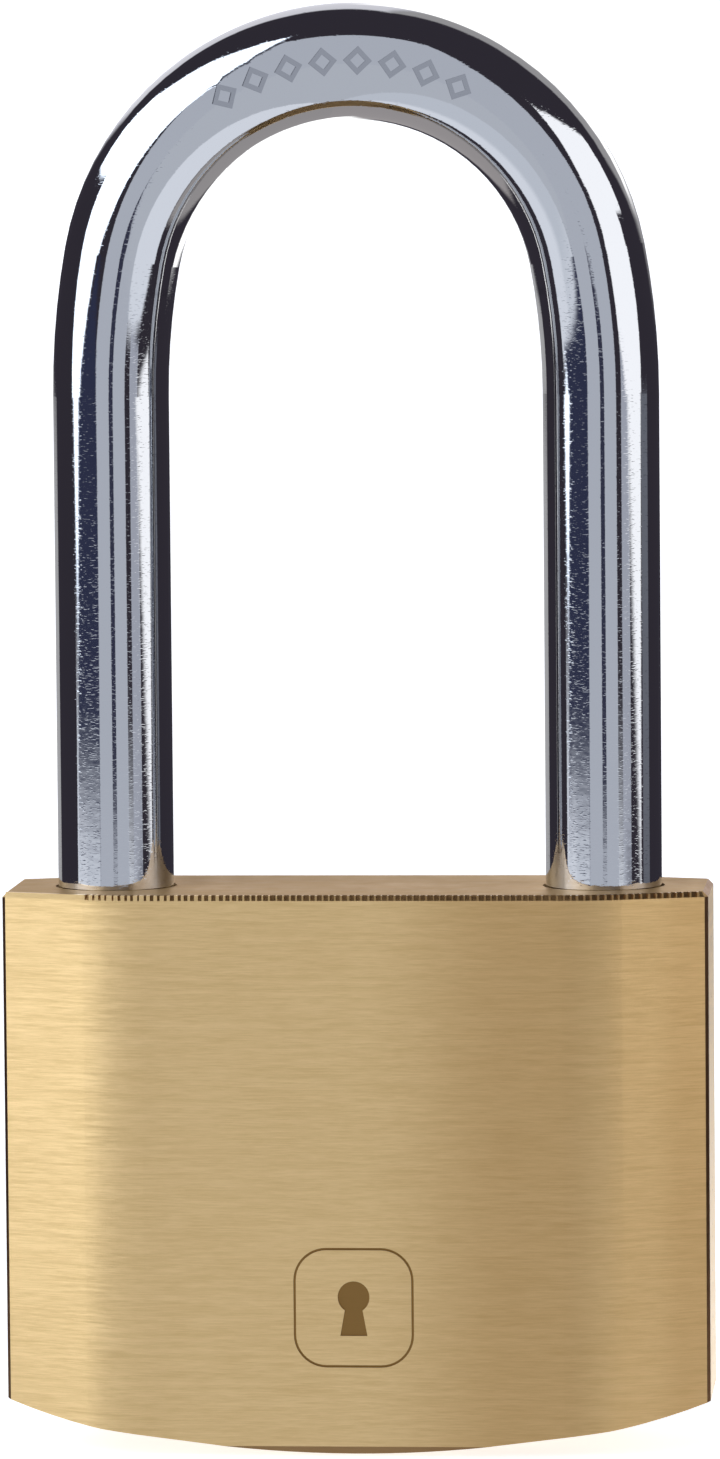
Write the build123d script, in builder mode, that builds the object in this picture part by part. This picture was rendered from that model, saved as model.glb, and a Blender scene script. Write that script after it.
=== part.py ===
"""Safety padlock with a solid brass body and a long hardened steel shackle.

Frame: millimetres, +Z up along the legs, +X to the toe side, -Y is the front face.
The origin is the centre of the underside, on the lowest point of the curved base.
The model stands closed and unlocked: the shackle is down, both bolts are drawn back
clear of its legs, and the plug is a quarter turn away from its locked position.
"""

import os
from math import cos, pi, radians, sin

from build123d import *

# ---------------------------------------------------------------- body
body_width = 60.0
body_height = 47.6
body_thickness = 19.0
body_end_thickness = 12.1
face_break_x = 20.4  # where the flat of each big face turns into its taper
face_break_radius = 15.0
base_radius = 85.0
base_arc_x = 12.0  # where the middle arc of the base ends
base_break_x = 21.6  # where the steeper end arcs of the base begin
base_break_rise = 2.05
base_corner_rise = 4.2
base_end_radius = 50.0
base_bevel_height = 0.75
base_bevel_run = 0.9
end_edge_chamfer = 0.3
top_edge_chamfer = 0.45

# ---------------------------------------------------------------- emblem
emblem_height = 12.6
emblem_size = 10.2
emblem_corner_radius = 2.8
emblem_line = 0.2
emblem_depth = 0.15
keyhole_eye_radius = 1.35
keyhole_eye_rise = 0.9
keyhole_foot_width = 2.3
keyhole_neck_width = 1.1
keyhole_leg = 3.3

# ---------------------------------------------------------------- shackle
shackle_diameter = 9.9
leg_pitch = 41.8
inside_clearance = 65.2  # from the body's top to the underside of the crown
crown_radius = 20.15
shoulder_angle = 10.6
bore_clearance = 0.25
toe_depth = 14.0  # how far the toe leg stands inside the body
toe_gap = 1.2
toe_tip_chamfer = 1.0
lift_travel = 15.0
heel_depth = 27.2
collar_height = 2.5
neck_height = 5.5
stamp_count = 8
stamp_middle_angle = -1.8
stamp_pitch_angle = 8.4
stamp_side = 1.75
stamp_line = 0.44
stamp_depth = 0.36

# ---------------------------------------------------------------- bolts and cam
bolt_diameter = 5.0
bolt_clearance = 0.1
bolt_axis_depth = 7.0  # from the body's top down to the bolts' axis
bolt_travel = 2.4
bolt_retract_gap = 0.35
notch_gap = 0.35
notch_side_gap = 0.2
bolt_middle_gap = 2.0
drive_pin_diameter = 1.8
drive_pin_start_radius = 2.6
drive_pin_gap = 0.1
cam_thickness = 3.4
cam_slot_depth = 2.2
cam_clearance = 0.2
tang_width = 2.9
tang_height = 1.0
tang_clearance = 0.05

# ---------------------------------------------------------------- plug and pin stacks
plug_diameter = 13.0
plug_clearance = 0.05
plug_recess = 0.8
keyway_width = 2.6
keyway_depth = 27.0
keyway_reach = 5.3
keyway_top = 2.6
keyway_ward = 0.7
pin_count = 5
pin_pitch = 4.0
first_pin_height = 8.0
pin_bore = 3.0
pin_clearance = 0.05
pin_chamfer = 0.4
key_pin_lengths = (3.2, 4.0, 3.6, 4.4, 3.0)
key_chamber_depth = 6.0
shear_gap = 0.1
driver_pin_length = 5.0
pin_spring_length = 8.5
pin_spring_wire = 0.35
pin_spring_turns = 7
groove_depth = 1.8
groove_height = 2.2
groove_above_pins = 3.4
plug_pin_diameter = 2.0
plug_pin_gap = 0.1
plug_pin_embed = 1.6

# ---------------------------------------------------------------- heel hardware
heel_pin_diameter = 2.5
heel_pin_gap = 0.1
heel_pin_embed = 1.3
spring_seat_thickness = 2.0
shackle_spring_length = 10.0
shackle_spring_wire = 1.1
shackle_spring_turns = 5
spring_clearance = 0.3
contact_gap = 0.05

# ---------------------------------------------------------------- worked out from the above
half_width = body_width / 2
half_thickness = body_thickness / 2
half_pitch = leg_pitch / 2
leg_radius = shackle_diameter / 2
bore_radius = leg_radius + bore_clearance
base_arc_rise = base_radius - (base_radius**2 - base_arc_x**2) ** 0.5

bolt_height = body_height - bolt_axis_depth
bolt_radius = bolt_diameter / 2
channel_radius = bolt_radius + bolt_clearance
leg_inner_x = half_pitch - leg_radius
bolt_tip_x = leg_inner_x - bolt_retract_gap
bolt_tip_locked_x = bolt_tip_x + bolt_travel
notch_floor_x = bolt_tip_locked_x + notch_gap
notch_half_height = bolt_radius + notch_side_gap
neck_radius = half_pitch - bolt_tip_locked_x - notch_gap

heel_end = body_height - heel_depth
collar_top = heel_end + collar_height
heel_pin_radius = heel_pin_diameter / 2
heel_pin_x = -(half_pitch + neck_radius + heel_pin_gap + heel_pin_radius)
heel_pin_height = collar_top + lift_travel + heel_pin_radius
flat_top = heel_pin_height + heel_pin_radius + notch_side_gap
spring_seat_bottom = heel_end - spring_seat_thickness
heel_bore_bottom = spring_seat_bottom - shackle_spring_length
toe_end = body_height - toe_depth

plug_radius = plug_diameter / 2
plug_bore_radius = plug_radius + plug_clearance
cam_radius = plug_bore_radius - cam_clearance
cam_top = bolt_height - bolt_radius - bolt_clearance
cam_bottom = cam_top - cam_thickness
plug_top = cam_bottom - contact_gap
slot_half_width = drive_pin_diameter / 2 + drive_pin_gap
cam_bore_top = bolt_height - (channel_radius**2 - slot_half_width**2) ** 0.5
cam_bore_top += contact_gap
pin_heights = [first_pin_height + i * pin_pitch for i in range(pin_count)]
pin_radius = pin_bore / 2 - pin_clearance
groove_middle = pin_heights[-1] + groove_above_pins
groove_floor_radius = plug_radius - groove_depth
plug_pin_radius = plug_pin_diameter / 2
plug_pin_x = -(groove_floor_radius + plug_pin_gap + plug_pin_radius)
driver_start = plug_bore_radius + contact_gap
driver_end = driver_start + driver_pin_length
chamber_plug_start = driver_end + pin_spring_length

# centreline of the shackle: a round crown, two flatter shoulders and two straight legs
crown_top = body_height + inside_clearance + leg_radius
crown_centre = crown_top - crown_radius
shoulder_turn = radians(shoulder_angle)
shoulder_radius = crown_radius + (half_pitch - crown_radius) / (1 - cos(shoulder_turn))
shoulder_shift = (shoulder_radius - crown_radius) * sin(shoulder_turn)
leg_top = crown_centre - shoulder_shift
crown_join_x = crown_radius * cos(shoulder_turn)
crown_join_z = crown_centre + crown_radius * sin(shoulder_turn)
shoulder_middle_x = (
    half_pitch - shoulder_radius + shoulder_radius * cos(shoulder_turn / 2)
)
shoulder_middle_z = leg_top + shoulder_radius * sin(shoulder_turn / 2)

os.makedirs("parts", exist_ok=True)


def save(piece, name):
    """Names a finished piece and writes its file."""
    piece.part.label = name
    export_step(piece.part, f"parts/{name}.step")


def body_plan():
    """Outline of the body seen from above: flat faces whose ends taper to the sides."""
    end = body_end_thickness / 2
    with BuildSketch() as plan:
        with BuildLine():
            Polyline(
                (-face_break_x, -half_thickness),
                (face_break_x, -half_thickness),
                (half_width, -end),
                (half_width, end),
                (face_break_x, half_thickness),
                (-face_break_x, half_thickness),
                (-half_width, end),
                (-half_width, -end),
                close=True,
            )
        make_face()
        breaks = plan.vertices().filter_by(lambda v: abs(v.X) < half_width - 1)
        fillet(breaks, face_break_radius)
    return plan.sketch


def spiral_point(turn, side):
    """Point beside the cam slot's centreline, which climbs evenly as it turns."""
    climb = bolt_travel / (pi / 2)
    reach = drive_pin_start_radius + climb * turn
    length = (reach**2 + climb**2) ** 0.5
    normal_x, normal_y = (
        (reach * cos(turn) + climb * sin(turn)) / length,
        (climb * cos(turn) - reach * sin(turn)) / length,
    )
    half_slot = side * slot_half_width
    return (
        reach * cos(turn) + half_slot * normal_x,
        -reach * sin(turn) + half_slot * normal_y,
    )


def slot_end(turn, sense):
    """Crest of the round end of the cam slot."""
    climb = bolt_travel / (pi / 2)
    reach = drive_pin_start_radius + climb * turn
    length = (reach**2 + climb**2) ** 0.5
    tangent_x = (climb * cos(turn) - reach * sin(turn)) / length
    tangent_y = (-climb * sin(turn) - reach * cos(turn)) / length
    half_slot = sense * slot_half_width
    return (
        reach * cos(turn) + half_slot * tangent_x,
        -reach * sin(turn) + half_slot * tangent_y,
    )


# ---------------------------------------------------------------- lock body
with BuildPart() as lock_body:
    with BuildSketch():
        add(body_plan())
    extrude(amount=body_height)

    # the base: a shallow middle arc, two straights and a steeper arc at each end
    with BuildSketch(Plane.XZ):
        with BuildLine():
            arc_right = (base_arc_x, base_arc_rise)
            arc_left = (-base_arc_x, base_arc_rise)
            break_right = (base_break_x, base_break_rise)
            break_left = (-base_break_x, base_break_rise)
            corner_right = (half_width, base_corner_rise)
            corner_left = (-half_width, base_corner_rise)
            ThreePointArc(arc_left, (0, 0), arc_right)
            Line(arc_right, break_right)
            RadiusArc(break_right, corner_right, -base_end_radius)
            Polyline(
                corner_right,
                (half_width, body_height),
                (-half_width, body_height),
                corner_left,
            )
            RadiusArc(corner_left, break_left, -base_end_radius)
            Line(break_left, arc_left)
        make_face()
    extrude(amount=half_thickness, both=True, mode=Mode.INTERSECT)

    # small bevel under the middle of the front and the back
    for side in (-1, 1):
        with BuildSketch(Plane.YZ.offset(-half_width)):
            with BuildLine():
                Polyline(
                    (side * half_thickness, base_bevel_height),
                    (side * (half_thickness - base_bevel_run), 0),
                    (side * half_thickness, 0),
                    close=True,
                )
            make_face()
        extrude(amount=body_width, mode=Mode.SUBTRACT)

    end_edges = lock_body.edges().filter_by(Axis.Z)
    end_edges = end_edges.filter_by(lambda e: abs(e.center().X) > half_width - 0.01)
    chamfer(end_edges, end_edge_chamfer)
    top_rim = lock_body.faces().sort_by(Axis.Z)[-1].outer_wire().edges()
    chamfer(top_rim, top_edge_chamfer)

    # shackle bores
    with BuildSketch(Plane.XY.offset(body_height)):
        with Locations((-half_pitch, 0)):
            Circle(bore_radius)
    extrude(amount=heel_bore_bottom - body_height, mode=Mode.SUBTRACT)
    with BuildSketch(Plane.XY.offset(body_height)):
        with Locations((half_pitch, 0)):
            Circle(bore_radius)
    extrude(amount=-(toe_depth + toe_gap), mode=Mode.SUBTRACT)

    # bore of the plug and the cam, open at the base
    with BuildSketch():
        Circle(plug_bore_radius)
    extrude(amount=cam_bore_top, mode=Mode.SUBTRACT)

    # bolt channel, drilled from the toe side as far as the heel bore
    with BuildSketch(Plane.YZ.offset(-half_pitch)):
        with Locations((0, bolt_height)):
            Circle(channel_radius)
    extrude(amount=half_pitch + half_width, mode=Mode.SUBTRACT)

    # pin chambers, drilled from the toe side as far as the plug's bore
    with BuildSketch(Plane.YZ):
        for height in pin_heights:
            with Locations((0, height)):
                Circle(pin_bore / 2)
    extrude(amount=half_width, mode=Mode.SUBTRACT)

    # blind cross holes from the back for the two retaining pins
    heel_pin_front = (bore_radius**2 - (heel_pin_x + half_pitch) ** 2) ** 0.5
    heel_pin_front += heel_pin_embed
    with BuildSketch(Plane.XZ.offset(heel_pin_front)):
        with Locations((heel_pin_x, heel_pin_height)):
            Circle(heel_pin_radius)
    extrude(amount=-(heel_pin_front + half_thickness), mode=Mode.SUBTRACT)
    plug_pin_front = (plug_bore_radius**2 - plug_pin_x**2) ** 0.5 + plug_pin_embed
    with BuildSketch(Plane.XZ.offset(plug_pin_front)):
        with Locations((plug_pin_x, groove_middle)):
            Circle(plug_pin_radius)
    extrude(amount=-(plug_pin_front + half_thickness), mode=Mode.SUBTRACT)

    # engraved emblem: a thin rounded frame round a keyhole
    with BuildSketch(Plane.XZ.offset(half_thickness)):
        with Locations((0, emblem_height)):
            RectangleRounded(emblem_size, emblem_size, emblem_corner_radius)
            inner = emblem_size - 2 * emblem_line
            inner_radius = emblem_corner_radius - emblem_line
            RectangleRounded(inner, inner, inner_radius, mode=Mode.SUBTRACT)
        with Locations((0, emblem_height + keyhole_eye_rise)):
            Circle(keyhole_eye_radius)
        with BuildLine():
            neck_z = emblem_height + keyhole_eye_rise
            foot_z = neck_z - keyhole_leg
            Polyline(
                (-keyhole_neck_width / 2, neck_z),
                (keyhole_neck_width / 2, neck_z),
                (keyhole_foot_width / 2, foot_z),
                (-keyhole_foot_width / 2, foot_z),
                close=True,
            )
        make_face()
    extrude(amount=-emblem_depth, mode=Mode.SUBTRACT)
save(lock_body, "lock_body")


# ---------------------------------------------------------------- shackle
with BuildPart() as shackle:
    with BuildLine(Plane.XZ) as centreline:
        Line((-half_pitch, heel_end), (-half_pitch, leg_top))
        ThreePointArc(
            (-half_pitch, leg_top),
            (-shoulder_middle_x, shoulder_middle_z),
            (-crown_join_x, crown_join_z),
        )
        ThreePointArc(
            (-crown_join_x, crown_join_z),
            (0, crown_top),
            (crown_join_x, crown_join_z),
        )
        ThreePointArc(
            (crown_join_x, crown_join_z),
            (shoulder_middle_x, shoulder_middle_z),
            (half_pitch, leg_top),
        )
        Line((half_pitch, leg_top), (half_pitch, toe_end))
    with BuildSketch(Plane.XY.offset(heel_end)):
        with Locations((-half_pitch, 0)):
            Circle(leg_radius)
    sweep(path=centreline.wires()[0])
    toe_rim = shackle.faces().filter_by(Axis.Z).sort_by(Axis.X)[-1].edges()
    chamfer(toe_rim, toe_tip_chamfer)

    # bolt notches, cut straight through the inner side of each leg
    notch_depth = notch_floor_x - leg_inner_x
    for side in (-1, 1):
        with BuildSketch(Plane.XZ.offset(leg_radius)):
            with Locations((side * (notch_floor_x - notch_depth / 2), bolt_height)):
                Rectangle(notch_depth, 2 * notch_half_height)
        extrude(amount=-shackle_diameter, mode=Mode.SUBTRACT)

    # turned neck above the heel collar, in which the retaining pin holds the open shackle
    with BuildSketch(Plane.XY.offset(collar_top)):
        with Locations((-half_pitch, 0)):
            Circle(leg_radius + contact_gap)
            Circle(neck_radius, mode=Mode.SUBTRACT)
    extrude(amount=neck_height, mode=Mode.SUBTRACT)

    # outer flat that lets the heel slide past the retaining pin
    flat_depth = leg_radius - neck_radius
    with BuildSketch(Plane.XZ.offset(leg_radius)):
        with Locations((-half_pitch - leg_radius + flat_depth / 2, collar_top)):
            Rectangle(flat_depth, flat_top - collar_top, align=(Align.CENTER, Align.MIN))
    extrude(amount=-shackle_diameter, mode=Mode.SUBTRACT)

    # row of stamped diamond outlines round the front of the crown
    for i in range(stamp_count):
        turn = stamp_middle_angle + (i - (stamp_count - 1) / 2) * stamp_pitch_angle
        mark_x = crown_radius * sin(radians(turn))
        mark_z = crown_centre + crown_radius * cos(radians(turn))
        with BuildSketch(Plane.XZ.offset(leg_radius - stamp_depth)):
            with Locations(Location((mark_x, mark_z, 0), (0, 0, 45 - turn))):
                Rectangle(stamp_side, stamp_side)
                inside = stamp_side - 2 * stamp_line
                Rectangle(inside, inside, mode=Mode.SUBTRACT)
        extrude(amount=stamp_depth, mode=Mode.SUBTRACT)
save(shackle, "shackle")


# ---------------------------------------------------------------- heel hardware
with BuildPart() as spring_seat:
    with BuildSketch(Plane.XY.offset(spring_seat_bottom)):
        with Locations((-half_pitch, 0)):
            Circle(leg_radius)
    extrude(amount=spring_seat_thickness - contact_gap)
    chamfer(spring_seat.edges().filter_by(GeomType.CIRCLE), spring_clearance)
save(spring_seat, "spring_seat")

with BuildPart() as shackle_spring:
    coil_radius = leg_radius - spring_clearance - shackle_spring_wire / 2
    coil_height = shackle_spring_length - shackle_spring_wire - 2 * contact_gap
    coil_base = heel_bore_bottom + shackle_spring_wire / 2 + contact_gap
    with BuildLine() as coil:
        Helix(
            pitch=coil_height / shackle_spring_turns,
            height=coil_height,
            radius=coil_radius,
            center=(-half_pitch, 0, coil_base),
        )
    with BuildSketch(Plane(origin=coil.line @ 0, z_dir=coil.line % 0)):
        Circle(shackle_spring_wire / 2)
    sweep(path=coil.wires()[0], is_frenet=True)
save(shackle_spring, "shackle_spring")

with BuildPart() as heel_retaining_pin:
    with BuildSketch(Plane.XZ.offset(heel_pin_front)):
        with Locations((heel_pin_x, heel_pin_height)):
            Circle(heel_pin_radius)
    extrude(amount=-(heel_pin_front + half_thickness))
    with BuildSketch(Plane.XY):
        add(body_plan())
    extrude(amount=body_height, mode=Mode.INTERSECT)
save(heel_retaining_pin, "heel_retaining_pin")


# ---------------------------------------------------------------- plug and cam
with BuildPart() as plug:
    with BuildSketch(Plane.XY.offset(plug_recess)):
        Circle(plug_radius)
    extrude(amount=plug_top - plug_recess)
    # tang that turns the cam
    with BuildSketch(Plane.XY.offset(plug_top)):
        Circle(cam_radius)
        Rectangle(2 * plug_diameter, tang_width, mode=Mode.INTERSECT)
    extrude(amount=tang_height)
    # groove for the plug retaining pin
    with BuildSketch(Plane.XY.offset(groove_middle - groove_height / 2)):
        Circle(plug_radius + contact_gap)
        Circle(groove_floor_radius, mode=Mode.SUBTRACT)
    extrude(amount=groove_height, mode=Mode.SUBTRACT)
    # warded keyway, in line with the key pins
    with BuildSketch(Plane.XY.offset(plug_recess)):
        half_key = keyway_width / 2
        with BuildLine():
            Polyline(
                (-half_key, -keyway_top),
                (half_key, -keyway_top),
                (half_key, keyway_ward),
                (half_key - keyway_ward, 2 * keyway_ward),
                (half_key, 3 * keyway_ward),
                (half_key, keyway_reach),
                (-half_key, keyway_reach),
                (-half_key, 4 * keyway_ward),
                (-half_key + keyway_ward, 3 * keyway_ward),
                (-half_key, 2 * keyway_ward),
                close=True,
            )
        make_face()
    extrude(amount=keyway_depth - plug_recess, mode=Mode.SUBTRACT)
    # key pin chambers, which face the front while the lock is unlocked
    with BuildSketch(Plane.XZ.offset(plug_radius - key_chamber_depth)):
        for height in pin_heights:
            with Locations((0, height)):
                Circle(pin_bore / 2)
    extrude(amount=key_chamber_depth, mode=Mode.SUBTRACT)
save(plug, "plug")

with BuildPart() as cam_disc:
    with BuildSketch(Plane.XY.offset(cam_bottom)):
        Circle(cam_radius)
    extrude(amount=cam_thickness - contact_gap)
    with BuildSketch(Plane.XY.offset(cam_bottom)):
        Rectangle(2 * plug_diameter, tang_width + 2 * tang_clearance)
    extrude(amount=tang_height, mode=Mode.SUBTRACT)
    # two spiral slots, half a turn apart, that drive the bolts outward
    steps = [i * pi / 2 / 8 for i in range(9)]
    with BuildSketch(Plane.XY.offset(cam_top)) as slots:
        with BuildLine():
            outer = [spiral_point(turn, 1) for turn in steps]
            inner_side = [spiral_point(turn, -1) for turn in steps]
            Spline(*outer)
            ThreePointArc(outer[-1], slot_end(pi / 2, 1), inner_side[-1])
            Spline(*inner_side[::-1])
            ThreePointArc(inner_side[0], slot_end(0, -1), outer[0])
        make_face()
        add(slots.sketch.rotate(Axis.Z, 180))
    extrude(amount=-cam_slot_depth, mode=Mode.SUBTRACT)
save(cam_disc, "cam_disc")

with BuildPart() as plug_retaining_pin:
    with BuildSketch(Plane.XZ.offset(plug_pin_front)):
        with Locations((plug_pin_x, groove_middle)):
            Circle(plug_pin_radius)
    extrude(amount=-(plug_pin_front + half_thickness))
save(plug_retaining_pin, "plug_retaining_pin")


# ---------------------------------------------------------------- locking bolts
drive_pin_bottom = cam_top - cam_slot_depth + 2 * contact_gap
drive_pin_top = bolt_height + bolt_radius / 2
for side, name in ((-1, "heel"), (1, "toe")):
    with BuildPart() as bolt:
        with BuildSketch(Plane.YZ.offset(side * bolt_middle_gap / 2)):
            with Locations((0, bolt_height)):
                Circle(bolt_radius)
        extrude(amount=side * (bolt_tip_x - bolt_middle_gap / 2))
        tip = bolt.faces().filter_by(Axis.X).sort_by(Axis.X)[0 if side < 0 else -1]
        chamfer(tip.edges(), pin_chamfer)
        with BuildSketch(Plane.XY.offset(bolt_height - bolt_radius)):
            with Locations((side * drive_pin_start_radius, 0)):
                Circle(drive_pin_diameter / 2)
        extrude(amount=drive_pin_top - bolt_height + bolt_radius, mode=Mode.SUBTRACT)
    save(bolt, f"locking_bolt_{name}")

    with BuildPart() as drive_pin:
        with BuildSketch(Plane.XY.offset(drive_pin_bottom)):
            with Locations((side * drive_pin_start_radius, 0)):
                Circle(drive_pin_diameter / 2)
        extrude(amount=drive_pin_top - drive_pin_bottom)
    save(drive_pin, f"bolt_drive_pin_{name}")

with BuildPart() as channel_plug:
    with BuildSketch(Plane.YZ.offset(half_pitch + bore_radius + contact_gap)):
        with Locations((0, bolt_height)):
            Circle(channel_radius)
    extrude(amount=half_width - half_pitch - bore_radius - contact_gap)
save(channel_plug, "channel_plug")


# ---------------------------------------------------------------- pin stacks
for number, (height, length) in enumerate(zip(pin_heights, key_pin_lengths), start=1):
    with BuildPart() as key_pin:
        with BuildSketch(Plane.XZ.offset(plug_radius - shear_gap)):
            with Locations((0, height)):
                Circle(pin_radius)
        extrude(amount=-length)
        chamfer(key_pin.edges().filter_by(GeomType.CIRCLE), pin_chamfer)
    save(key_pin, f"key_pin_{number}")

    with BuildPart() as driver_pin:
        with BuildSketch(Plane.YZ.offset(driver_start)):
            with Locations((0, height)):
                Circle(pin_radius)
        extrude(amount=driver_pin_length)
        chamfer(driver_pin.edges().filter_by(GeomType.CIRCLE), pin_chamfer)
    save(driver_pin, f"driver_pin_{number}")

    with BuildPart() as pin_spring:
        coil_radius = pin_radius - pin_spring_wire / 2 - pin_clearance
        coil_length = pin_spring_length - pin_spring_wire - 2 * contact_gap
        coil_start = driver_end + pin_spring_wire / 2 + contact_gap
        with BuildLine() as coil:
            Helix(
                pitch=coil_length / pin_spring_turns,
                height=coil_length,
                radius=coil_radius,
                center=(coil_start, 0, height),
                direction=(1, 0, 0),
            )
        with BuildSketch(Plane(origin=coil.line @ 0, z_dir=coil.line % 0)):
            Circle(pin_spring_wire / 2)
        sweep(path=coil.wires()[0], is_frenet=True)
    save(pin_spring, f"pin_spring_{number}")

    with BuildPart() as chamber_plug:
        with BuildSketch(Plane.YZ.offset(chamber_plug_start)):
            with Locations((0, height)):
                Circle(pin_bore / 2)
        extrude(amount=half_width - chamber_plug_start)
    save(chamber_plug, f"chamber_plug_{number}")
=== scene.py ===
import math
import random

import bpy
from mathutils import Matrix, Vector


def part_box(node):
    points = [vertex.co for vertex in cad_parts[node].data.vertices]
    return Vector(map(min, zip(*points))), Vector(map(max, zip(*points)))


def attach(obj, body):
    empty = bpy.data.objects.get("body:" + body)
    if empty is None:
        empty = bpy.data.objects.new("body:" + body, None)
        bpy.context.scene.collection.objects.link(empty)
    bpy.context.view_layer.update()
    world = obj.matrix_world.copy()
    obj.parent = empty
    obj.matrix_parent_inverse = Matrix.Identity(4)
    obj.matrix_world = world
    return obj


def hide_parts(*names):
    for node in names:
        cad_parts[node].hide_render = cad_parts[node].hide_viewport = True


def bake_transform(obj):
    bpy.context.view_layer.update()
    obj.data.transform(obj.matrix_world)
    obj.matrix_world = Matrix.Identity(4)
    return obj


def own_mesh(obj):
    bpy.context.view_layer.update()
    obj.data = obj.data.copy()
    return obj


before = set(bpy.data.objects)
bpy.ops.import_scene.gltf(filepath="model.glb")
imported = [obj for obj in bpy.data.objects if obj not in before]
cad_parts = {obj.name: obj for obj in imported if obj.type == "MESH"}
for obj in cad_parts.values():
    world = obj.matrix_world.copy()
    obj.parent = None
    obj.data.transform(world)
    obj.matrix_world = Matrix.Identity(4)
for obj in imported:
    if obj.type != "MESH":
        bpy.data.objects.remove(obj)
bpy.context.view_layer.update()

MM = 0.001

# ---------------------------------------------------------------- places read from the frame
BODY_LOW, BODY_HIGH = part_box("lock_body")
SHACKLE_LOW, SHACKLE_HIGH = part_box("shackle")
BODY_TOP = BODY_HIGH.z
FRONT_Y = BODY_LOW.y
SIDE_X = BODY_HIGH.x
LEG_RADIUS = (SHACKLE_HIGH.y - SHACKLE_LOW.y) / 2
CROWN_RADIUS = 20.15 * MM
CROWN_CENTRE_Z = SHACKLE_HIGH.z - LEG_RADIUS - CROWN_RADIUS
EMBLEM_Z = 12.6 * MM
EMBLEM_HALF = 6.0 * MM
TOP_CHAMFER = 0.45 * MM
BODY_END_HALF = 6.05 * MM
SERRATION_FROM = -22.6 * MM
SERRATION_TO = 29.2 * MM
SERRATION_PITCH = 0.56 * MM
RIDGE_ROOT = 0.32 * MM
RIDGE_FIRST_GAP = 0.35 * MM
RIDGE_SHARE_HEEL = 0.72  # ridge width as a share of the pitch, where the notches begin
RIDGE_SHARE_DROP = 0.44  # how much of that share is lost further along
RIDGE_DROP_RATE = 3.5
PLAIN_EDGE_STEPS = 24
SIDE_PLUGS = ["channel_plug"] + [f"chamber_plug_{i}" for i in range(1, 6)]
BACK_PINS = ["heel_retaining_pin", "plug_retaining_pin"]
SEAM_HALF = 0.04 * MM
PIN_SPRING_WIRE = 0.35 * MM
PIN_SPRING_TURNS = 7
LIFT_SPRING_WIRE = 1.1 * MM
LIFT_SPRING_TURNS = 5
COIL_STEPS = 20
COIL_SIDES = 8
BRUSHING = 0.7  # anisotropy of the brushed faces
FLOOR_RADIUS = 3.0
FLOOR_GAP = 0.0002
FLOOR_MIDDLE = 0.3
FLOOR_GLOW = 0.75
BOWL_RISE = 1.0
BOWL_HEIGHT = 3.5
BOWL_STEPS = 12
AXIS_RADIUS = 0.0001


# ---------------------------------------------------------------- node helpers
class Net:
    """A node tree with short calls: a value passed for a socket may be a number or a socket."""

    def __init__(self, tree):
        self.tree = tree
        self.tree.nodes.clear()

    def node(self, kind, inputs=None, **settings):
        made = self.tree.nodes.new(kind)
        for name, value in settings.items():
            setattr(made, name, value)
        for name, value in (inputs or {}).items():
            self.feed(made.inputs[name], value)
        return made

    def feed(self, socket, value):
        if isinstance(value, bpy.types.NodeSocket):
            self.tree.links.new(value, socket)
        else:
            socket.default_value = value

    def math(self, operation, a, b=0.0, c=0.0, clamp=False):
        made = self.tree.nodes.new("ShaderNodeMath")
        made.operation = operation
        made.use_clamp = clamp
        for socket, value in zip(made.inputs, (a, b, c)):
            self.feed(socket, value)
        return made.outputs[0]

    def step(self, value, low, high):
        """0 below low, 1 above high, smooth between."""
        made = self.node(
            "ShaderNodeMapRange",
            {"Value": value, "From Min": low, "From Max": high},
            interpolation_type="SMOOTHSTEP",
        )
        return made.outputs["Result"]

    def span(self, value, low, high, soft):
        """1 between low and high, with soft edges."""
        rise = self.step(value, low - soft, low + soft)
        fall = self.step(value, high + soft, high - soft)
        return self.math("MULTIPLY", rise, fall)

    def fit(self, value, low, high):
        """Maps 0..1 to low..high."""
        return self.math("MULTIPLY_ADD", value, high - low, low)

    def product(self, *values):
        total = values[0]
        for value in values[1:]:
            total = self.math("MULTIPLY", total, value)
        return total

    def mix(self, factor, a, b, blend="MIX"):
        made = self.node("ShaderNodeMix", data_type="RGBA", blend_type=blend)
        self.feed(made.inputs["Factor"], factor)
        self.feed(made.inputs[6], a)
        self.feed(made.inputs[7], b)
        return made.outputs[2]

    def scaled(self, vector, scale):
        made = self.node("ShaderNodeVectorMath", operation="MULTIPLY")
        self.feed(made.inputs[0], vector)
        made.inputs[1].default_value = scale
        return made.outputs[0]

    def noise(self, vector, scale, detail=2.0, roughness=0.5):
        """Noise around 0.5; scale gives its frequency per metre on each axis."""
        made = self.node(
            "ShaderNodeTexNoise",
            {
                "Vector": self.scaled(vector, scale),
                "Scale": 1.0,
                "Detail": detail,
                "Roughness": roughness,
            },
        )
        return made.outputs[0]

    def bump(self, height, distance, strength=1.0, normal=None):
        inputs = {"Height": height, "Distance": distance, "Strength": strength}
        if normal is not None:
            inputs["Normal"] = normal
        return self.node("ShaderNodeBump", inputs).outputs[0]

    def place(self):
        """The object's own coordinates in metres, whole and split."""
        coords = self.node("ShaderNodeTexCoord").outputs["Object"]
        split = self.node("ShaderNodeSeparateXYZ", {"Vector": coords})
        return coords, split.outputs[0], split.outputs[1], split.outputs[2]

    def facing(self):
        """The object's own surface direction, split."""
        normal = self.node("ShaderNodeTexCoord").outputs["Normal"]
        split = self.node("ShaderNodeSeparateXYZ", {"Vector": normal})
        return split.outputs[0], split.outputs[1], split.outputs[2]


def rgb(red, green, blue):
    """sRGB 0..255 to a linear colour."""

    def linear(channel):
        value = channel / 255
        if value <= 0.04045:
            return value / 12.92
        return ((value + 0.055) / 1.055) ** 2.4

    return (linear(red), linear(green), linear(blue), 1.0)


def new_material(name):
    material = bpy.data.materials.new(name)
    material.use_nodes = True
    return material, Net(material.node_tree)


def finish_material(net, shader):
    net.node("ShaderNodeOutputMaterial", {"Surface": shader.outputs[0]})


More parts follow.
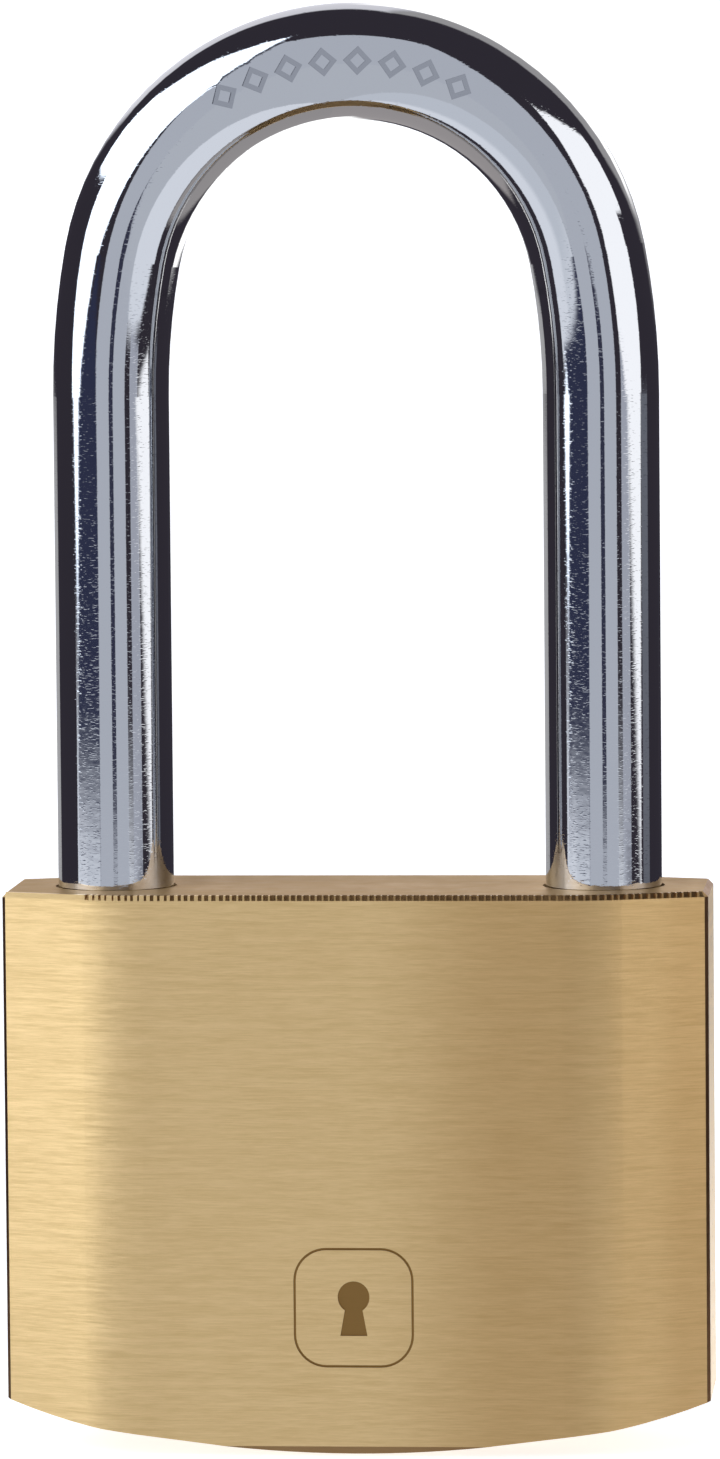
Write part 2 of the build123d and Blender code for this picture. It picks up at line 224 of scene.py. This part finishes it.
def dress(piece, material):
    piece.data.materials.clear()
    piece.data.materials.append(material)
    for polygon in piece.data.polygons:
        polygon.material_index = 0


# ---------------------------------------------------------------- camera
CAMERA_PLACE = Vector((0.0567, -0.6664, 0.1108))
CAMERA_YAW = math.radians(4.85)
CAMERA_PITCH = math.radians(-4.265)
CAMERA_ROLL = math.radians(-0.494)
CAMERA_LENS = 194.0


def make_camera():
    data = bpy.data.cameras.new("camera")
    data.lens = CAMERA_LENS
    data.sensor_width = 36.0
    data.clip_start = 0.01
    data.clip_end = 50.0
    camera = bpy.data.objects.new("camera", data)
    bpy.context.scene.collection.objects.link(camera)
    upright = Matrix.Rotation(math.pi / 2, 4, "X")
    tilt = Matrix.Rotation(CAMERA_YAW, 4, "Z") @ upright
    tilt = tilt @ Matrix.Rotation(CAMERA_PITCH, 4, "X")
    tilt = tilt @ Matrix.Rotation(CAMERA_ROLL, 4, "Z")
    camera.matrix_world = Matrix.Translation(CAMERA_PLACE) @ tilt
    bpy.context.scene.camera = camera


# ---------------------------------------------------------------- studio
# Softboxes, a diffuser and a table round the lock, which the polished shackle reflects. Each
# panel has its corners as (azimuth, elevation) in degrees, anticlockwise and convex, the
# softness of its edge, its colour and its strength. Azimuth 0 is straight in front of the lock
# and grows towards its toe side; behind the lock it runs on past 180. Later panels lie over
# earlier ones.
STUDIO_DARK = (44, 41, 49)
STUDIO_PANELS = [
    # pale table below the horizon, dimmer behind the lock
    ([(-80, -95), (78, -95), (74, -13), (60, -7), (44, -5), (-46, -4), (-74, -4)],
     1.0, (204, 209, 219), 1.0),
    ([(-60, -95), (-20, -95), (-20, -6), (-50, -6)], 6.0, (180, 186, 197), 1.0),
    ([(78, -95), (190, -95), (190, -30), (76, -26)], 3.0, (140, 137, 138), 1.0),
    ([(-190, -95), (-80, -95), (-92, -29), (-122, -26), (-165, -8), (-190, -5)],
     3.0, (143, 139, 140), 1.0),
    ([(130, -10), (160, -36), (186, -37), (186, -6)], 2.0, (250, 250, 250), 1.3),
    # soft light behind the lock
    ([(123, 26), (138, 12), (158, 3), (176, 1), (176, 62), (150, 55), (131, 47)],
     3.0, (142, 141, 143), 1.0),
    ([(176, 1), (195, 4), (221, 24), (219, 33), (204, 50), (176, 60)], 3.0, (196, 196, 203), 1.0),
    ([(148, 12), (160, 8), (183, 8), (183, 32), (160, 32), (149, 25)], 3.5, (252, 252, 252), 1.3),
    ([(-178, -6), (-133, -6), (-133, -2), (-178, -1)], 1.0, (150, 150, 152), 1.0),
    ([(89, -6), (107, -6), (107, -1), (90, -1)], 1.0, (96, 99, 108), 1.0),
    # large grey diffuser in front
    ([(-25, -95), (31, -95), (31, -5), (-25, -5)], 1.0, (168, 173, 183), 1.0),
    ([(-25, -6), (38.3, -6), (38.3, -0.5), (31.5, 14), (28.5, 44), (27, 51), (-26, 49.5)],
     0.6, (164, 169, 180), 1.0),
    # softbox above, on the heel side
    ([(-114, 23), (-24, 25), (-25, 38), (-32, 58.5), (-74, 55), (-106, 41), (-114, 32)],
     1.0, (228, 239, 255), 1.75),
    ([(-83, 8), (-77, -1), (-70, -3), (-63, -3.6), (-36, 9.5), (-23, 25), (-82, 25)],
     0.8, (228, 239, 255), 1.75),
    ([(-25.6, 25), (-23.4, 25), (-25.6, 50), (-28, 50)], 0.5, (66, 67, 76), 1.0),
    # the dark gap between it and the table
    ([(-70, -4.8), (-24, -4.8), (-22.5, -3), (-24, -1), (-39, 4.5), (-64, -2.4)],
     0.7, (42, 46, 68), 1.0),
    # tall softbox on the toe side
    ([(42.7, -5.4), (60, -5.4), (60, 0.5), (44, 1)], 0.5, (152, 156, 168), 1.0),
    ([(37.5, 18), (100, 18), (98, 36.5), (80, 40), (56, 40.5), (40, 37)],
     0.8, (241, 243, 248), 1.0),
    ([(39.5, 15), (44, 1.5), (59, -2.4), (83, -5.5), (90, -1), (92, 6), (84, 21), (38, 21)],
     0.8, (241, 243, 248), 1.0),
    # dark stand in front
    ([(1.6, -5), (9.6, -5), (9.6, 0.2), (1.6, 0.2)], 0.4, (46, 48, 66), 1.0),
]
STUDIO_STRENGTH = 1.6


def panel_mask(net, azimuth, elevation, corners, soft):
    """1 inside a convex outline of (azimuth, elevation) corners, falling to 0 across its edge."""
    nearest = None
    for i, (start_az, start_el) in enumerate(corners):
        end_az, end_el = corners[(i + 1) % len(corners)]
        run, rise = end_az - start_az, end_el - start_el
        length = math.hypot(run, rise)
        offset = (rise * start_az - run * start_el) / length
        inside = net.math("MULTIPLY_ADD", elevation, run / length, offset)
        inside = net.math("MULTIPLY_ADD", azimuth, -rise / length, inside)
        nearest = inside if nearest is None else net.math("MINIMUM", nearest, inside)
    return net.step(nearest, -soft, soft)


def make_world():
    world = bpy.data.worlds.new("studio")
    bpy.context.scene.world = world
    world.use_nodes = True
    net = Net(world.node_tree)
    direction = net.node("ShaderNodeTexCoord").outputs["Generated"]
    split = net.node("ShaderNodeSeparateXYZ", {"Vector": direction})
    x, y, z = split.outputs
    degree = 180 / math.pi
    azimuth = net.math("MULTIPLY", net.math("ARCTAN2", x, net.math("MULTIPLY", y, -1.0)), degree)
    elevation = net.math("MULTIPLY", net.math("ARCSINE", z), degree)
    # the same azimuth counted from 0 to 360, for panels behind the lock
    behind = net.math("MULTIPLY_ADD", net.math("LESS_THAN", azimuth, 0.0), 360.0, azimuth)
    colour = rgb(*STUDIO_DARK)
    for corners, soft, tone, strength in STUDIO_PANELS:
        turned = behind if max(corner[0] for corner in corners) > 160 else azimuth
        mask = panel_mask(net, turned, elevation, corners, soft)
        bright = tuple(channel * strength for channel in rgb(*tone)[:3]) + (1.0,)
        colour = net.mix(mask, colour, bright)
    light = net.node(
        "ShaderNodeBackground", {"Color": colour, "Strength": STUDIO_STRENGTH}
    )
    net.node("ShaderNodeOutputWorld", {"Surface": light.outputs[0]})


def make_mesh(name, vertices, faces, smooth=True):
    mesh = bpy.data.meshes.new(name)
    mesh.from_pydata(vertices, [], faces)
    mesh.update()
    for polygon in mesh.polygons:
        polygon.use_smooth = smooth
    made = bpy.data.objects.new(name, mesh)
    bpy.context.scene.collection.objects.link(made)
    return made


def lathe(name, profile, segments=96):
    """Surface of revolution about Z from (radius, height) points."""
    vertices = []
    for radius, height in profile:
        for i in range(segments):
            turn = 2 * math.pi * i / segments
            vertices.append((radius * math.cos(turn), radius * math.sin(turn), height))
    faces = []
    for ring in range(len(profile) - 1):
        for i in range(segments):
            j = (i + 1) % segments
            a, b = ring * segments, (ring + 1) * segments
            faces.append((a + i, a + j, b + j, b + i))
    return make_mesh(name, vertices, faces)


def make_floor():
    profile = [(AXIS_RADIUS, -FLOOR_GAP), (FLOOR_MIDDLE, -FLOOR_GAP), (FLOOR_RADIUS, -FLOOR_GAP)]
    for i in range(1, BOWL_STEPS + 1):
        turn = math.pi / 2 * i / BOWL_STEPS
        profile.append(
            (
                FLOOR_RADIUS + BOWL_RISE * math.sin(turn),
                BOWL_RISE * (1 - math.cos(turn)) - FLOOR_GAP,
            )
        )
    profile.append((FLOOR_RADIUS + BOWL_RISE, BOWL_HEIGHT))
    profile.append((AXIS_RADIUS, BOWL_HEIGHT + 1.0))
    bowl = lathe("studio_floor", profile)
    material, net = new_material("pale_floor")
    shader = net.node(
        "ShaderNodeBsdfPrincipled",
        {
            "Base Color": rgb(225, 225, 226),
            "Roughness": 0.9,
            "Emission Color": (1.0, 1.0, 1.0, 1.0),
            "Emission Strength": FLOOR_GLOW,
        },
    )
    finish_material(net, shader)
    dress(bowl, material)
    bowl.visible_glossy = False
    bowl.visible_diffuse = False
    bowl.visible_shadow = False


# ---------------------------------------------------------------- brass body
def metal_shader(net, colour, roughness, normal, tangent=None):
    """Bare metal, brushed across the tangent if one is given."""
    inputs = {
        "Base Color": colour,
        "Metallic": 1.0,
        "Roughness": roughness,
        "Normal": normal,
    }
    if tangent is not None:
        inputs["Anisotropic"] = BRUSHING
        inputs["Tangent"] = tangent
    return net.node("ShaderNodeBsdfPrincipled", inputs)


def upright_tangent(net, normal_x):
    """Upright on the front, the back and both ends of the body."""
    broad = net.node("ShaderNodeTangent", direction_type="RADIAL", axis="X")
    ends = net.node("ShaderNodeTangent", direction_type="RADIAL", axis="Y")
    made = net.node("ShaderNodeMix", data_type="VECTOR")
    net.feed(made.inputs[0], net.math("GREATER_THAN", net.math("ABSOLUTE", normal_x), 0.9))
    net.feed(made.inputs[4], broad.outputs[0])
    net.feed(made.inputs[5], ends.outputs[0])
    return made.outputs[1]


def seam_ring(net, a, b, low, high):
    """1 on the hairline round a flush plug whose box goes from low to high on axes a and b."""
    off_a = net.math("SUBTRACT", a, (low[0] + high[0]) / 2)
    off_b = net.math("SUBTRACT", b, (low[1] + high[1]) / 2)
    reach = net.math("SQRT", net.math("ADD", net.product(off_a, off_a), net.product(off_b, off_b)))
    radius = (high[1] - low[1]) / 2
    return net.span(reach, radius - SEAM_HALF, radius + SEAM_HALF, 0.03 * MM)


def plug_seams(net, x, y, z):
    """Hairlines round the plugs on the toe side and the cross pins on the back."""
    on_side = net.step(x, SIDE_X - 0.1 * MM, SIDE_X - 0.02 * MM)
    on_back = net.step(y, 4.0 * MM, 5.0 * MM)
    total = 0.0
    for name in SIDE_PLUGS:
        low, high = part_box(name)
        ring = seam_ring(net, y, z, (low.y, low.z), (high.y, high.z))
        total = net.math("ADD", net.product(ring, on_side), total)
    for name in BACK_PINS:
        low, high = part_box(name)
        ring = seam_ring(net, x, z, (low.x, low.z), (high.x, high.z))
        total = net.math("ADD", net.product(ring, on_back), total)
    return net.math("MINIMUM", total, 1.0)


def make_body_brass():
    material, net = new_material("brushed_brass")
    coords, x, y, z = net.place()
    normal_x, _, normal_z = net.facing()

    # brushing runs along the width, in lines a tenth of a millimetre wide and finer
    fine = net.noise(coords, (420.0, 420.0, 8000.0), 4.0, 0.7)
    coarse = net.noise(coords, (120.0, 120.0, 2200.0), 3.0, 0.6)
    broad = net.noise(coords, (40.0, 40.0, 220.0), 2.0, 0.5)
    streaks = net.math("ADD", net.math("MULTIPLY", fine, 0.6), net.math("MULTIPLY", coarse, 0.4))
    streaks = net.step(streaks, 0.3, 0.7)
    tone = net.mix(streaks, (0.77, 0.515, 0.215, 1.0), (0.97, 0.685, 0.33, 1.0))
    tone = net.mix(net.math("MULTIPLY", broad, 0.3), tone, (0.88, 0.61, 0.28, 1.0))

    # painted shade: the toe side of the front is painted a little darker and redder, less so on the
    # inner part of its taper, in place of the lights' dark reflection there
    painted_toe_shade = net.step(x, 0.0, 14.0 * MM)
    painted_toe_shade = net.math("SUBTRACT", painted_toe_shade, net.math("MULTIPLY", net.step(x, 17.5 * MM, 21.5 * MM), 0.3))
    painted_toe_shade = net.math("ADD", painted_toe_shade, net.math("MULTIPLY", net.step(x, 25.0 * MM, 28.0 * MM), 0.3))
    painted_toe_shade = net.math("MULTIPLY", painted_toe_shade, net.step(y, -4.0 * MM, -5.0 * MM))
    darker = net.mix(1.0, tone, (0.77, 0.71, 0.65, 1.0), "MULTIPLY")
    tone = net.mix(painted_toe_shade, tone, darker)

    # milled top: browner, with marks along its length
    top = net.step(normal_z, 0.85, 0.95)
    marks = net.noise(coords, (120.0, 4500.0, 120.0), 3.0, 0.6)
    top_tone = net.mix(marks, rgb(190, 154, 104), rgb(226, 188, 134))
    tone = net.mix(top, tone, top_tone)

    # painted shade on the narrow faces, in brown: a painted dark reflection on the four upright edges,
    # painted shade on the bevels below and in the notches of the notched edge
    side = net.math("ABSOLUTE", normal_x)
    upright = net.span(side, 0.62, 0.93, 0.03)
    notched = net.product(net.span(normal_z, 0.5, 0.85, 0.03), net.step(y, 0.0, -1.0 * MM))
    notched = net.product(notched, net.span(x, SERRATION_FROM, SERRATION_TO, 0.2 * MM))
    bevel = net.span(normal_z, -0.85, -0.5, 0.05)
    tone = net.mix(upright, tone, rgb(152, 114, 80))
    tone = net.mix(notched, tone, rgb(184, 142, 92))
    tone = net.mix(net.math("MULTIPLY", bevel, 0.7), tone, rgb(140, 102, 62))

    # engraved emblem, filled with dark patina
    recess = net.step(y, FRONT_Y + 0.03 * MM, FRONT_Y + 0.07 * MM)
    near_x = net.step(net.math("ABSOLUTE", x), EMBLEM_HALF, EMBLEM_HALF - 0.1 * MM)
    rise = net.math("ABSOLUTE", net.math("SUBTRACT", z, EMBLEM_Z))
    near_z = net.step(rise, EMBLEM_HALF, EMBLEM_HALF - 0.1 * MM)
    front = net.step(y, -3.0 * MM, -4.0 * MM)
    emblem = net.product(recess, near_x, near_z, front)
    tone = net.mix(emblem, tone, rgb(150, 114, 64))

    tone = net.mix(net.math("MULTIPLY", plug_seams(net, x, y, z), 0.6), tone, rgb(120, 88, 50))

    roughness = net.fit(streaks, 0.30, 0.44)
    roughness = net.math("ADD", roughness, net.math("MULTIPLY", top, 0.12))
    normal = net.bump(streaks, 0.012 * MM, 0.5)
    shader = metal_shader(net, tone, roughness, normal, upright_tangent(net, normal_x))
    finish_material(net, shader)
    return material


def make_turned_brass():
    """Lathe-turned brass: fine rings about Z."""
    material, net = new_material("turned_brass")
    coords, x, y, _ = net.place()
    radius = net.math("SQRT", net.math("ADD", net.product(x, x), net.product(y, y)))
    rings = net.node(
        "ShaderNodeTexNoise",
        {"Scale": 1.0, "Detail": 2.0, "W": net.math("MULTIPLY", radius, 9000.0)},
        noise_dimensions="1D",
    ).outputs[0]
    grime = net.noise(coords, (700.0, 700.0, 700.0), 3.0, 0.6)
    tone = net.mix(rings, rgb(205, 172, 112), rgb(238, 208, 150))
    tone = net.mix(net.step(grime, 0.55, 0.8), tone, rgb(150, 120, 78))
    shader = metal_shader(net, tone, net.fit(rings, 0.24, 0.38), net.bump(rings, 0.01 * MM))
    finish_material(net, shader)
    return material


# ---------------------------------------------------------------- steels
def make_chrome():
    material, net = new_material("chrome_plate")
    coords, x, y, z = net.place()
    # pits of the stamped marks, told by their depth below the round of the crown
    up = net.math("SUBTRACT", z, CROWN_CENTRE_Z)
    ring = net.math("SQRT", net.math("ADD", net.product(x, x), net.product(up, up)))
    off = net.math("SUBTRACT", ring, CROWN_RADIUS)
    depth = net.math("SQRT", net.math("ADD", net.product(off, off), net.product(y, y)))
    pit = net.step(depth, LEG_RADIUS - 0.06 * MM, LEG_RADIUS - 0.14 * MM)
    pit = net.product(pit, net.step(up, 0.0, 1.0 * MM))
    # ground round before plating: faint wavy peel, with small dimples
    peel = net.noise(coords, (700.0, 700.0, 900.0), 2.0, 0.5)
    specks = net.noise(coords, (2400.0, 2400.0, 8500.0), 1.0, 0.5)
    dimples = net.step(specks, 0.55, 0.85)
    tone = net.mix(pit, (0.625, 0.628, 0.635, 1.0), (0.44, 0.445, 0.46, 1.0))
    roughness = net.fit(specks, 0.02, 0.06)
    roughness = net.math("ADD", roughness, net.math("MULTIPLY", pit, 0.08))
    normal = net.bump(peel, 0.002 * MM)
    normal = net.bump(dimples, 0.0015 * MM, 1.0, normal)
    shader = metal_shader(net, tone, roughness, normal)
    finish_material(net, shader)
    return material


def make_steel(name, low, high, rough_low, rough_high, scale):
    material, net = new_material(name)
    coords, *_ = net.place()
    grain = net.noise(coords, scale, 3.0, 0.6)
    tone = net.mix(grain, low, high)
    shader = metal_shader(
        net, tone, net.fit(grain, rough_low, rough_high), net.bump(grain, 0.008 * MM)
    )
    finish_material(net, shader)
    return material


def dress_frame():
    body_brass = make_body_brass()
    turned = make_turned_brass()
    chrome = make_chrome()
    ground = make_steel(
        "ground_steel", rgb(120, 122, 128), rgb(176, 178, 184), 0.25, 0.4, (300, 3000, 3000)
    )
    wire = make_steel(
        "spring_wire", rgb(150, 152, 158), rgb(205, 206, 210), 0.2, 0.35, (2500, 2500, 2500)
    )
    nickel = make_steel(
        "nickel_silver", rgb(186, 176, 150), rgb(222, 214, 192), 0.2, 0.35, (2500, 2500, 800)
    )
    finishes = {
        "lock_body": body_brass,
        "shackle": chrome,
        "plug": turned,
        "spring_seat": turned,
        "channel_plug": body_brass,
        "chamber_plug": body_brass,
        "heel_retaining_pin": body_brass,
        "plug_retaining_pin": body_brass,
        "locking_bolt": ground,
        "bolt_drive_pin": ground,
        "cam_disc": ground,
        "shackle_spring": wire,
        "pin_spring": wire,
        "key_pin": nickel,
        "driver_pin": nickel,
    }
    for name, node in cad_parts.items():
        start = max((key for key in finishes if name.startswith(key)), key=len)
        dress(node, finishes[start])
    return wire


# ---------------------------------------------------------------- notched front edge
def front_outline():
    """(x, y) points of the front face just under the top chamfer, from heel to toe."""
    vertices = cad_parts["lock_body"].data.vertices
    level = BODY_TOP - TOP_CHAMFER
    rim = {
        (round(v.co.x, 7), round(v.co.y, 7))
        for v in vertices
        if abs(v.co.z - level) < 0.02 * MM and v.co.y < -BODY_END_HALF + 0.1 * MM
    }
    return sorted(rim)


def front_at(outline, x):
    """Height of the outline at x, and its slope."""
    for (x0, y0), (x1, y1) in zip(outline, outline[1:]):
        if x0 <= x <= x1 and x1 > x0:
            slope = (y1 - y0) / (x1 - x0)
            return y0 + slope * (x - x0), slope
    nearest = min(outline, key=lambda point: abs(point[0] - x))
    return nearest[1], 0.0


def add_ridge(vertices, faces, outline, start, end):
    """A ridge that fills the top chamfer between two places along the front edge."""
    first = len(vertices)
    for x in (start, end):
        y, slope = front_at(outline, x)
        length = math.hypot(1.0, slope)
        inward = Vector((-slope / length, 1.0 / length, 0.0))
        edge = Vector((x, y, BODY_TOP))
        chamfer_end = edge + inward * TOP_CHAMFER
        root = edge + inward * RIDGE_ROOT - Vector((0.0, 0.0, RIDGE_ROOT))
        foot = edge - Vector((0.0, 0.0, TOP_CHAMFER))
        vertices += [foot, edge, chamfer_end, root]
    for i in range(4):
        j = (i + 1) % 4
        faces.append((first + i, first + 4 + i, first + 4 + j, first + j))
    faces.append((first, first + 1, first + 2, first + 3))
    faces.append((first + 7, first + 6, first + 5, first + 4))


def make_ridge_brass():
    material, net = new_material("ridge_brass")
    coords, x, *_ = net.place()
    grain = net.noise(coords, (900.0, 900.0, 6000.0), 2.0, 0.6)
    bright = net.mix(grain, (0.78, 0.53, 0.23, 1.0), (0.92, 0.65, 0.31, 1.0))
    dull = net.mix(grain, (0.26, 0.15, 0.06, 1.0), (0.42, 0.26, 0.11, 1.0))
    tone = net.mix(net.step(x, -21.0 * MM, 8.0 * MM), bright, dull)
    finish_material(net, metal_shader(net, tone, 0.35, net.bump(grain, 0.01 * MM)))
    return material


def make_notched_edge():
    """Ridges and notches in the top chamfer of the front face, with a plain stretch at its heel end."""
    outline = front_outline()
    dice = random.Random(4)
    vertices, faces = [], []
    plain_start = outline[0][0] + 0.05 * MM
    plain_step = (SERRATION_FROM - plain_start) / PLAIN_EDGE_STEPS
    for i in range(PLAIN_EDGE_STEPS):
        start = plain_start + plain_step * i
        end = plain_start + plain_step * (i + 1)
        add_ridge(vertices, faces, outline, start, end)
    x = SERRATION_FROM + RIDGE_FIRST_GAP
    while x < SERRATION_TO:
        along = (x - SERRATION_FROM) / (SERRATION_TO - SERRATION_FROM)
        share = RIDGE_SHARE_HEEL - RIDGE_SHARE_DROP * min(1.0, along * RIDGE_DROP_RATE)
        pitch = SERRATION_PITCH * dice.uniform(0.85, 1.15)
        width = pitch * share * dice.uniform(0.8, 1.2)
        add_ridge(vertices, faces, outline, x, x + width)
        x += pitch
    edge = make_mesh("edge_ridges", vertices, faces, smooth=False)
    dress(edge, make_ridge_brass())
    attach(edge, "lock_case")


# ---------------------------------------------------------------- springs
def make_coil(name, foot, along, outward, length, width, wire, turns):
    """A closed wire coil that stands on foot and runs along one direction."""
    sideways = along.cross(outward)
    reach = (width - wire) / 2
    climb = (length - wire) / (2 * math.pi * turns)
    steps = COIL_STEPS * turns
    vertices = []
    for i in range(steps + 1):
        turn = 2 * math.pi * turns * i / steps
        radial = outward * math.cos(turn) + sideways * math.sin(turn)
        forward = sideways * math.cos(turn) - outward * math.sin(turn)
        tangent = (along * climb + forward * reach).normalized()
        across = tangent.cross(radial)
        centre = foot + along * (wire / 2 + climb * turn) + radial * reach
        for k in range(COIL_SIDES):
            around = 2 * math.pi * k / COIL_SIDES
            offset = radial * math.cos(around) + across * math.sin(around)
            vertices.append(centre + offset * (wire / 2))
    faces = []
    for i in range(steps):
        for k in range(COIL_SIDES):
            j = (k + 1) % COIL_SIDES
            a, b = i * COIL_SIDES, (i + 1) * COIL_SIDES
            faces.append((a + k, a + j, b + j, b + k))
    faces.append(tuple(reversed(range(COIL_SIDES))))
    faces.append(tuple(steps * COIL_SIDES + k for k in range(COIL_SIDES)))
    return make_mesh(name, vertices, faces)


def make_pin_springs(wire_steel):
    """Wire coils in place of the five pin springs, carried with the lock case."""
    for i in range(1, 6):
        low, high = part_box(f"pin_spring_{i}")
        middle = (low + high) / 2
        length = high.x - low.x
        foot = Vector((low.x, middle.y, middle.z))
        width = high.z - low.z
        coil = make_coil(
            f"pin_coil_{i}", foot, Vector((1, 0, 0)), Vector((0, 1, 0)),
            length, width, PIN_SPRING_WIRE, PIN_SPRING_TURNS,
        )
        dress(coil, wire_steel)
        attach(coil, "lock_case")
        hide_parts(f"pin_spring_{i}")
        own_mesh(coil)


def make_lift_spring(wire_steel):
    """A wire coil under the heel leg, in place of the shackle spring."""
    low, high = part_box("shackle_spring")
    middle = (low + high) / 2
    foot = Vector((middle.x, middle.y, low.z))
    coil = make_coil(
        "lift_coil", foot, Vector((0, 0, 1)), Vector((1, 0, 0)),
        high.z - low.z, high.y - low.y, LIFT_SPRING_WIRE, LIFT_SPRING_TURNS,
    )
    dress(coil, wire_steel)
    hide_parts("shackle_spring")
    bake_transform(coil)


# ---------------------------------------------------------------- make everything
make_camera()
make_world()
make_floor()
wire_steel = dress_frame()
make_notched_edge()
make_pin_springs(wire_steel)
make_lift_spring(wire_steel)
bpy.context.scene.view_settings.view_transform = "Standard"
